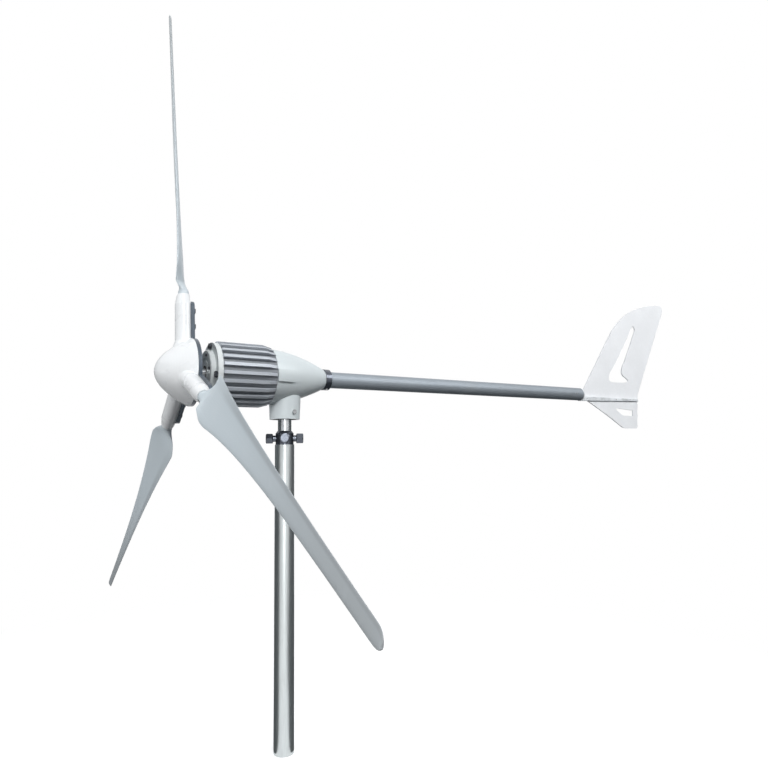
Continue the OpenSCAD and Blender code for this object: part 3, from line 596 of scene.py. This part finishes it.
def mesh_from_grid(name: str, points: np.ndarray, uv: np.ndarray) -> bpy.types.Object:
    """Closed skin from a grid of rings.

    Each ring joins round to itself, neighbouring rings are joined by quads, and the first and last
    ring are closed by one face each.

    Args:
        name: name of the object.
        points: rings by turns by three, in metres.
        uv: rings by turns by two.

    Returns:
        The object, linked to the scene.
    """
    rings, turns, _ = points.shape
    index = np.arange(rings * turns).reshape(rings, turns)
    ahead = np.roll(index, -1, axis=1)
    quads = np.stack([index[:-1], ahead[:-1], ahead[1:], index[1:]], axis=-1).reshape(-1, 4)
    faces = [*quads.tolist(), index[0][::-1].tolist(), index[-1].tolist()]
    mesh = bpy.data.meshes.new(name)
    mesh.from_pydata(points.reshape(-1, 3).tolist(), [], faces)
    layer = mesh.uv_layers.new(name="skin")
    corner = np.zeros(len(mesh.loops), np.int32)
    mesh.loops.foreach_get("vertex_index", corner)
    flat = uv.reshape(-1, 2)[corner]
    seam = np.zeros(len(mesh.loops), bool)
    wrap = 4 * np.arange(quads.shape[0]).reshape(rings - 1, turns)[:, -1]
    seam[np.concatenate([wrap + 1, wrap + 2])] = True
    flat[seam, 1] = 1.0
    layer.data.foreach_set("uv", flat.astype(np.float32).ravel())
    mesh.polygons.foreach_set("use_smooth", np.ones(len(mesh.polygons), bool))
    mesh.update()
    made = bpy.data.objects.new(name, mesh)
    bpy.context.scene.collection.objects.link(made)
    return made


def sheet_from_grid(name: str, points: np.ndarray) -> bpy.types.Object:
    """Open sheet whose neighbouring grid points are joined by quads.

    Args:
        name: name of the object.
        points: rows by columns by three, in metres.

    Returns:
        The object, linked to the scene.
    """
    rows, columns, _ = points.shape
    index = np.arange(rows * columns).reshape(rows, columns)
    corners = [index[:-1, :-1], index[1:, :-1], index[1:, 1:], index[:-1, 1:]]
    quads = np.stack(corners, axis=-1).reshape(-1, 4)
    mesh = bpy.data.meshes.new(name)
    mesh.from_pydata(points.reshape(-1, 3).tolist(), [], quads.tolist())
    made = bpy.data.objects.new(name, mesh)
    bpy.context.scene.collection.objects.link(made)
    return made


def ease(t: np.ndarray) -> np.ndarray:
    """Smooth step 3t^2 - 2t^3 of t clipped to 0 and 1."""
    c = np.clip(t, 0.0, 1.0)
    return c * c * (3.0 - 2.0 * c)


@dataclass
class BladeSet:
    """Three twisted blades as smooth skins over their CAD solids. Fields are millimetres and degrees."""

    tip_r: float = 989.0
    shoulder_r: float = 246.0
    stub_in: float = 62.0
    root_out: float = 178.0
    stub_out: float = 194.0
    stub_r: float = 13.5
    hub_x: float = -251.5
    seam_x: float = -239.0
    root_chord: float = 95.0
    tip_chord: float = 22.0
    lead_share: float = 0.35
    lead_full: float = 0.95
    lead_in: float = 203.0
    lead_out: float = 262.0
    trail_out: float = 240.0
    foil_in: float = 222.0
    root_pitch: float = 20.0
    tip_pitch: float = 6.5
    least_t: float = 8.0
    cone_deg: float = 2.0
    blade_step: float = 3.0
    tip_round: float = 20.0
    tip_anchor: float = 0.25
    rest_turn: float = -6.9
    count: int = 3
    lead_tip_share: float = 0.07
    trail_tip_share: float = 0.92
    trail_power: float = 1.15
    camber_share: float = 0.045
    thick_share: float = 0.07
    tail_full: float = 0.35
    tip_full: float = 0.4
    least_keep: float = 0.02
    root_gap: float = 0.6
    root_lap: float = 6.0
    lap_step: float = 0.5
    seam_gap: float = 0.2
    stub_rings: int = 6
    root_rings: int = 36
    span_rings: int = 55
    tip_rings: int = 18
    span_power: float = 1.15
    turns: int = 72

    def stations(self) -> np.ndarray:
        """Radii of the sections, close together at the root, the shoulder and the tip.

        Returns:
            Radii in millimetres.
        """
        round_in = self.tip_r - self.tip_round
        share = np.linspace(0, 1, self.span_rings + 1)[:-1]
        turn = np.linspace(0, math.pi / 2, self.tip_rings)
        stub_end = self.root_out - self.root_lap
        stub = np.linspace(self.stub_in, stub_end, self.stub_rings)
        root = np.linspace(stub_end + self.lap_step, self.lead_out, self.root_rings, endpoint=False)
        span = self.lead_out + (round_in - self.lead_out) * share**self.span_power
        return np.concatenate([stub, root, span, round_in + self.tip_round * np.sin(turn)])

    def form(self) -> tuple[np.ndarray, np.ndarray]:
        """Surface of one blade that points up from the rotor axis.

        At radius r the section runs round by the turn a. Its side offset goes from the trailing edge
        (an almost straight taper) to the leading edge (a cubic taper that is full at the shoulder).
        The pitch leans it out of the rotor's plane, camber is a parabola of the chord share, and
        thickness is a sine of a that is fuller towards the leading edge. The tip shrinks by a cubic
        round, and the root blends into a round stub with smooth steps, earlier on the trailing than
        on the leading side.

        Returns:
            Points, rings by turns by three in metres, and their UV.
        """
        r = self.stations()[:, None]
        a = np.linspace(0.0, 2.0 * math.pi, self.turns, endpoint=False)[None, :]
        left = np.clip((self.tip_r - r) / (self.tip_r - self.shoulder_r), 0.0, 1.0)
        lead_tip = self.lead_tip_share * self.tip_chord
        trail_tip = self.trail_tip_share * self.tip_chord
        lead_root = self.root_chord * self.lead_share
        lead = lead_tip + (lead_root - lead_tip) * np.minimum(1.0, (left / self.lead_full) ** 3)
        trail = -trail_tip - (self.root_chord - lead_root - trail_tip) * left**self.trail_power
        chord = lead - trail
        share = (1.0 - np.cos(a)) / 2.0
        tip = np.clip((r - self.tip_r + self.tip_round) / self.tip_round, 0.0, 1.0)
        keep = np.sqrt(np.maximum(self.least_keep, 1.0 - tip**3))
        anchor = lead - self.tip_anchor * chord
        side = anchor + (trail + chord * share - anchor) * keep
        pitch = np.radians(self.tip_pitch + (self.root_pitch - self.tip_pitch) * left**3)
        slope = math.tan(math.radians(self.cone_deg))
        lean = -self.blade_step - slope * np.maximum(0.0, r - self.stub_out)
        camber = self.camber_share * chord * 4.0 * share * (1.0 - share) * keep
        full = np.sin(a) * (self.tail_full + (1.0 - self.tail_full) * np.sin(a / 2.0) ** 2)
        full = full * (self.tip_full + (1.0 - self.tip_full) * keep)
        thick = (self.least_t + self.thick_share * chord) / 2.0 * full
        out = lean - (side - (lead + trail) / 2.0) * np.tan(pitch) + camber + thick
        trail_step = ease((r - self.stub_out) / (self.trail_out - self.stub_out))
        lead_step = ease((r - self.lead_in) / (self.lead_out - self.lead_in))
        to_side = (1.0 - share) * trail_step + share * lead_step
        to_foil = ease((r - self.stub_out) / (self.foil_in - self.stub_out))
        round_r = self.stub_r - self.root_gap
        x = self.hub_x + (1.0 - to_foil) * round_r * np.sin(a) + to_foil * out
        x = np.where(r < self.root_out, np.minimum(x, self.seam_x - self.seam_gap), x)
        y = (1.0 - to_side) * round_r * np.cos(a) - to_side * side
        points = np.stack(np.broadcast_arrays(x, y, r), axis=-1) / MM_PER_M
        span = (r - self.stub_in) / (self.tip_r - self.stub_in)
        return points, np.stack(np.broadcast_arrays(span, a / (2.0 * math.pi)), axis=-1)

    def build(self, dresser: Dresser) -> None:
        """Makes the three skins and lets them stand for the CAD blades.

        Args:
            dresser: gives the finish.
        """
        points, uv = self.form()
        for k in range(self.count):
            angle = math.radians(self.rest_turn + 360.0 / self.count * k)
            y, z = points[..., 1], points[..., 2]
            turned = np.stack(
                [
                    points[..., 0],
                    y * math.cos(angle) - z * math.sin(angle),
                    AXIS_Z + y * math.sin(angle) + z * math.cos(angle),
                ],
                axis=-1,
            )
            skin = mesh_from_grid(f"blade_skin_{k + 1}", turned, uv)
            dresser.dress(skin, BLADE_PLASTIC)
            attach(skin, Body.ROTOR.value)
            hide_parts(f"blade_{k + 1}")
            LOG.info("%s made, %d faces", skin.name, len(skin.data.polygons))


@dataclass(frozen=True)
class Lamp:
    """Soft rectangular lamp at one point that faces another, with width and height, and watts."""

    name: str
    at: Point
    to: Point
    size: tuple[float, float]
    watts: float
    throw: Throw = Throw.ALL

    def build(self) -> None:
        """Makes the lamp, which the camera doesn't see."""
        data = bpy.data.lights.new(self.name, "AREA")
        data.shape = "RECTANGLE"
        data.size, data.size_y = self.size
        data.energy = self.watts
        made = bpy.data.objects.new(self.name, data)
        made.location = self.at
        facing = Vector(self.to) - Vector(self.at)
        made.rotation_euler = facing.to_track_quat("-Z", "Y").to_euler()
        made.visible_camera = False
        made.visible_diffuse, made.visible_glossy = self.throw.value
        bpy.context.scene.collection.objects.link(made)


LAMPS = (
    Lamp("key_softbox", (-0.55, -3.3, 3.5), (0.1, 0.0, 0.9), (1.3, 1.3), 92.0),
    Lamp("nose_softbox", (-3.2, 0.1, 0.8), (-0.25, 0.0, 0.7), (1.2, 1.2), 46.0, Throw.SOFT),
    Lamp("side_softbox", (-2.2, -2.6, 2.2), (-0.2, 0.0, 0.8), (1.2, 1.2), 19.0, Throw.SOFT),
    Lamp("top_softbox", (0.3, 0.2, 4.0), (0.3, 0.0, 0.9), (3.0, 3.0), 10.0),
    Lamp("rear_softbox", (2.4, 4.2, 1.1), (0.4, 0.0, 0.9), (1.8, 1.8), 105.0, Throw.SOFT),
    Lamp("front_strip", (-1.35, -3.2, 1.2), (0.0, 0.0, 0.8), (0.9, 2.6), 34.0, Throw.GLOSS),
    Lamp("tail_softbox", (1.9, -2.3, 2.5), (1.35, 0.0, 1.0), (1.6, 1.6), 45.0),
)


@dataclass
class Studio:
    """Plain pale floor, soft lamps, white surroundings and the camera, in metres, degrees and pixels."""

    floor_half: float = 14.0
    floor_z: float = -0.0015
    floor_bounce: Colour = (0.11, 0.11, 0.112)
    floor_paint: Colour = (0.62, 0.62, 0.62)
    floor_glow: float = 0.62
    shadow_reach: tuple[float, float] = (0.6, 1.7)
    sky_low: Colour = (0.02, 0.02, 0.022)
    sky_top: Colour = (0.19, 0.20, 0.22)
    sky_rise: tuple[float, float] = (-0.15, 0.5)
    white: Colour = (1.0, 1.0, 1.0)
    screen_in: float = 0.026
    screen_r: float = 3.2
    screen_z: float = 0.004
    screen_foot: float = 0.3
    screen_cloth: Colour = (0.115, 0.125, 0.13)
    low_x: tuple[float, float] = (0.15, 2.2)
    low_half: float = 1.2
    low_z: float = 0.03
    sheet_n: int = 9
    sweep_n: int = 25
    outward_n: int = 6
    upward_n: int = 5
    sensor_mm: float = 36.0
    clip: tuple[float, float] = (0.02, 100.0)
    image_px: float = 768.0
    focal_px: float = 609.03
    centre_px: tuple[float, float] = (372.24, 375.38)
    camera_at: Point = (-0.5969, -1.42648, 0.67971)
    yaw: float = 30.952
    pitch: float = 7.716
    roll: float = -0.956

    def camera(self) -> None:
        """Camera with the photograph's viewing angle, focal length and picture centre."""
        data = bpy.data.cameras.new("camera")
        data.sensor_width = self.sensor_mm
        data.lens = self.focal_px / self.image_px * self.sensor_mm
        data.shift_x = (self.image_px / 2 - self.centre_px[0]) / self.image_px
        data.shift_y = (self.centre_px[1] - self.image_px / 2) / self.image_px
        data.clip_start, data.clip_end = self.clip
        yaw, pitch, roll = (math.radians(v) for v in (self.yaw, self.pitch, self.roll))
        level = Vector((math.sin(yaw), math.cos(yaw), 0.0))
        ahead = level * math.cos(pitch) + Vector((0.0, 0.0, math.sin(pitch)))
        right = Vector((math.cos(yaw), -math.sin(yaw), 0.0))
        up = right.cross(ahead)
        right, up = (
            right * math.cos(roll) + up * math.sin(roll),
            up * math.cos(roll) - right * math.sin(roll),
        )
        made = bpy.data.objects.new("camera", data)
        turned = Matrix((right, up, -ahead)).transposed().to_4x4()
        made.matrix_world = Matrix.Translation(self.camera_at) @ turned
        bpy.context.scene.collection.objects.link(made)
        bpy.context.scene.camera = made

    def floor(self) -> None:
        """Pale floor that shows white with the object's soft shadow and throws little light upwards."""
        axis = np.linspace(-self.floor_half, self.floor_half, self.sheet_n)
        x, y = np.meshgrid(axis, axis, indexing="ij")
        made = sheet_from_grid("floor", np.stack([x, y, np.full_like(x, self.floor_z)], axis=-1))
        material, graph = new_material("floor")
        seen = self.seen(graph)
        x_at, y_at, _ = graph.axes()
        away = graph.maths("SQRT", x_at * x_at + y_at * y_at).ramp(*self.shadow_reach)
        bounce = graph.node("ShaderNodeBsdfDiffuse", None, {"Color": self.floor_bounce})
        pale = graph.node("ShaderNodeBsdfDiffuse", None, {"Color": self.floor_paint})
        glow = graph.node("ShaderNodeEmission", None, {"Color": self.white, "Strength": self.floor_glow})
        clear = graph.node("ShaderNodeEmission", None, {"Color": self.white, "Strength": 1.0})
        lifted = graph.node("ShaderNodeAddShader", None, {0: pale, 1: glow})
        shown = graph.node("ShaderNodeMixShader", None, {0: away, 1: lifted, 2: clear})
        graph.surface(graph.node("ShaderNodeMixShader", None, {0: seen, 1: bounce, 2: shown}))
        made.data.materials.append(material)

    @staticmethod
    def seen(graph: Graph) -> Sock:
        """1 for rays from the camera, mirrors and glass, 0 for soft bounced light."""
        path = graph.node("ShaderNodeLightPath").socket.node.outputs
        camera, glossy, through = (
            Sock(graph, path[name]) for name in ("Is Camera Ray", "Is Glossy Ray", "Is Transmission Ray")
        )
        return graph.maths("MINIMUM", camera + glossy + through, 1.0)

    def world(self) -> None:
        """White surroundings for the camera, a soft sky that is brighter above for bounced light."""
        world = bpy.data.worlds.new("surroundings")
        bpy.context.scene.world = world
        world.use_nodes = True
        graph = Graph(world.node_tree)
        _, _, height = graph.split(graph.node("ShaderNodeTexCoord", out="Generated"))
        sky = graph.mix(height.ramp(*self.sky_rise), self.sky_low, self.sky_top)
        shown = graph.mix(self.seen(graph), sky, self.white)
        shade = graph.node("ShaderNodeBackground", None, {"Color": shown, "Strength": 1.0})
        graph.node("ShaderNodeOutputWorld", None, {"Surface": shade})

    def screen(self, name: str, start: float, stop: float, top: float) -> None:
        """Dark curved screen beside the object that shows only as a mirrored edge in bright metal.

        It is swept round the mast axis from the start to the stop angle. Its profile runs out along
        the floor from near the mast, and then up.

        Args:
            name: name of the screen.
            start: first angle in degrees.
            stop: last angle in degrees.
            top: height of its upper edge.
        """
        turn = np.radians(np.linspace(start, stop, self.sweep_n))[:, None]
        outward = np.linspace(self.screen_in, self.screen_r, self.outward_n)
        upward = np.linspace(self.screen_foot, top, self.upward_n)
        radius = np.concatenate([outward, np.full_like(upward, self.screen_r)])[None, :]
        height = np.concatenate([np.full_like(outward, self.screen_z), upward])[None, :]
        ring = np.broadcast_arrays(radius * np.cos(turn), radius * np.sin(turn), height)
        self.dark_only_in_gloss(sheet_from_grid(name, np.stack(ring, axis=-1)))

    def low_screen(self) -> None:
        """Dark flat screen under the boom, a grid in X and Y just above the floor."""
        along = np.linspace(*self.low_x, self.sheet_n)
        across = np.linspace(-self.low_half, self.low_half, self.sheet_n)
        x, y = np.meshgrid(along, across, indexing="ij")
        grid = np.stack([x, y, np.full_like(x, self.low_z)], axis=-1)
        self.dark_only_in_gloss(sheet_from_grid("low_screen", grid))

    def dark_only_in_gloss(self, made: bpy.types.Object) -> None:
        """Hides a screen from everything except mirrored rays and gives it a dark cloth.

        Args:
            made: the screen.
        """
        made.visible_camera = False
        made.visible_diffuse = False
        made.visible_transmission = False
        made.visible_shadow = False
        material, graph = new_material(made.name)
        cloth = {"Color": self.screen_cloth, "Strength": 1.0}
        graph.surface(graph.node("ShaderNodeEmission", None, cloth))
        made.data.materials.append(material)

    def build(self) -> None:
        """Makes the whole studio."""
        self.camera()
        self.floor()
        self.world()
        self.screen("left_screen", start=92.0, stop=192.0, top=2.6)
        self.screen("right_screen", start=-35.0, stop=40.0, top=2.6)
        self.screen("right_low_screen", start=-60.0, stop=-35.0, top=0.9)
        self.low_screen()
        for lamp in LAMPS:
            lamp.build()
            LOG.info("%s hung", lamp.name)
        bpy.context.scene.view_settings.view_transform = "Standard"


def main() -> None:
    """Loads the frame, dresses it and lights it."""
    logging.basicConfig(level=logging.INFO, format="%(name)s %(message)s")
    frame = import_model()
    Studio().build()
    dresser = Dresser(frame["nodes"])
    dresser.dress_nodes()
    BladeSet().build(dresser)


if __name__ == "__main__":
    main()
